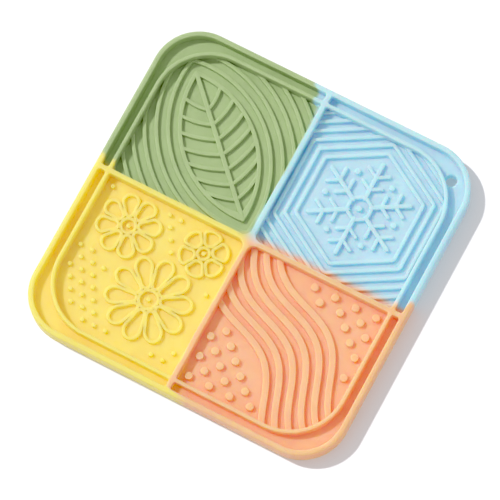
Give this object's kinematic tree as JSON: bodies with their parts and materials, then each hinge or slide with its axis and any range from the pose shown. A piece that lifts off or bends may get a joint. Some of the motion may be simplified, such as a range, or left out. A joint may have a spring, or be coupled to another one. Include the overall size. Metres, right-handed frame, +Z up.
{
  "type": "lick mat",
  "caption": "Square rubber lick mat: rim, inner ring wall and a cross of dividers round pockets with raised leaf, star, daisy and wave reliefs.",
  "frame": {"origin": "middle of the flat underside, on the surface the mat rests on", "axes": "+Z up; +X and +Y along the dividers, with the hang hole in the corner between +X and +Y"},
  "size_m": [0.2, 0.2, 0.012],
  "materials": {
    "silicone": "satin moulded silicone in soft green, blue, yellow and orange quarters"
  },
  "bodies": {
    "root": {"mat": "silicone"}
  },
  "joints": []
}
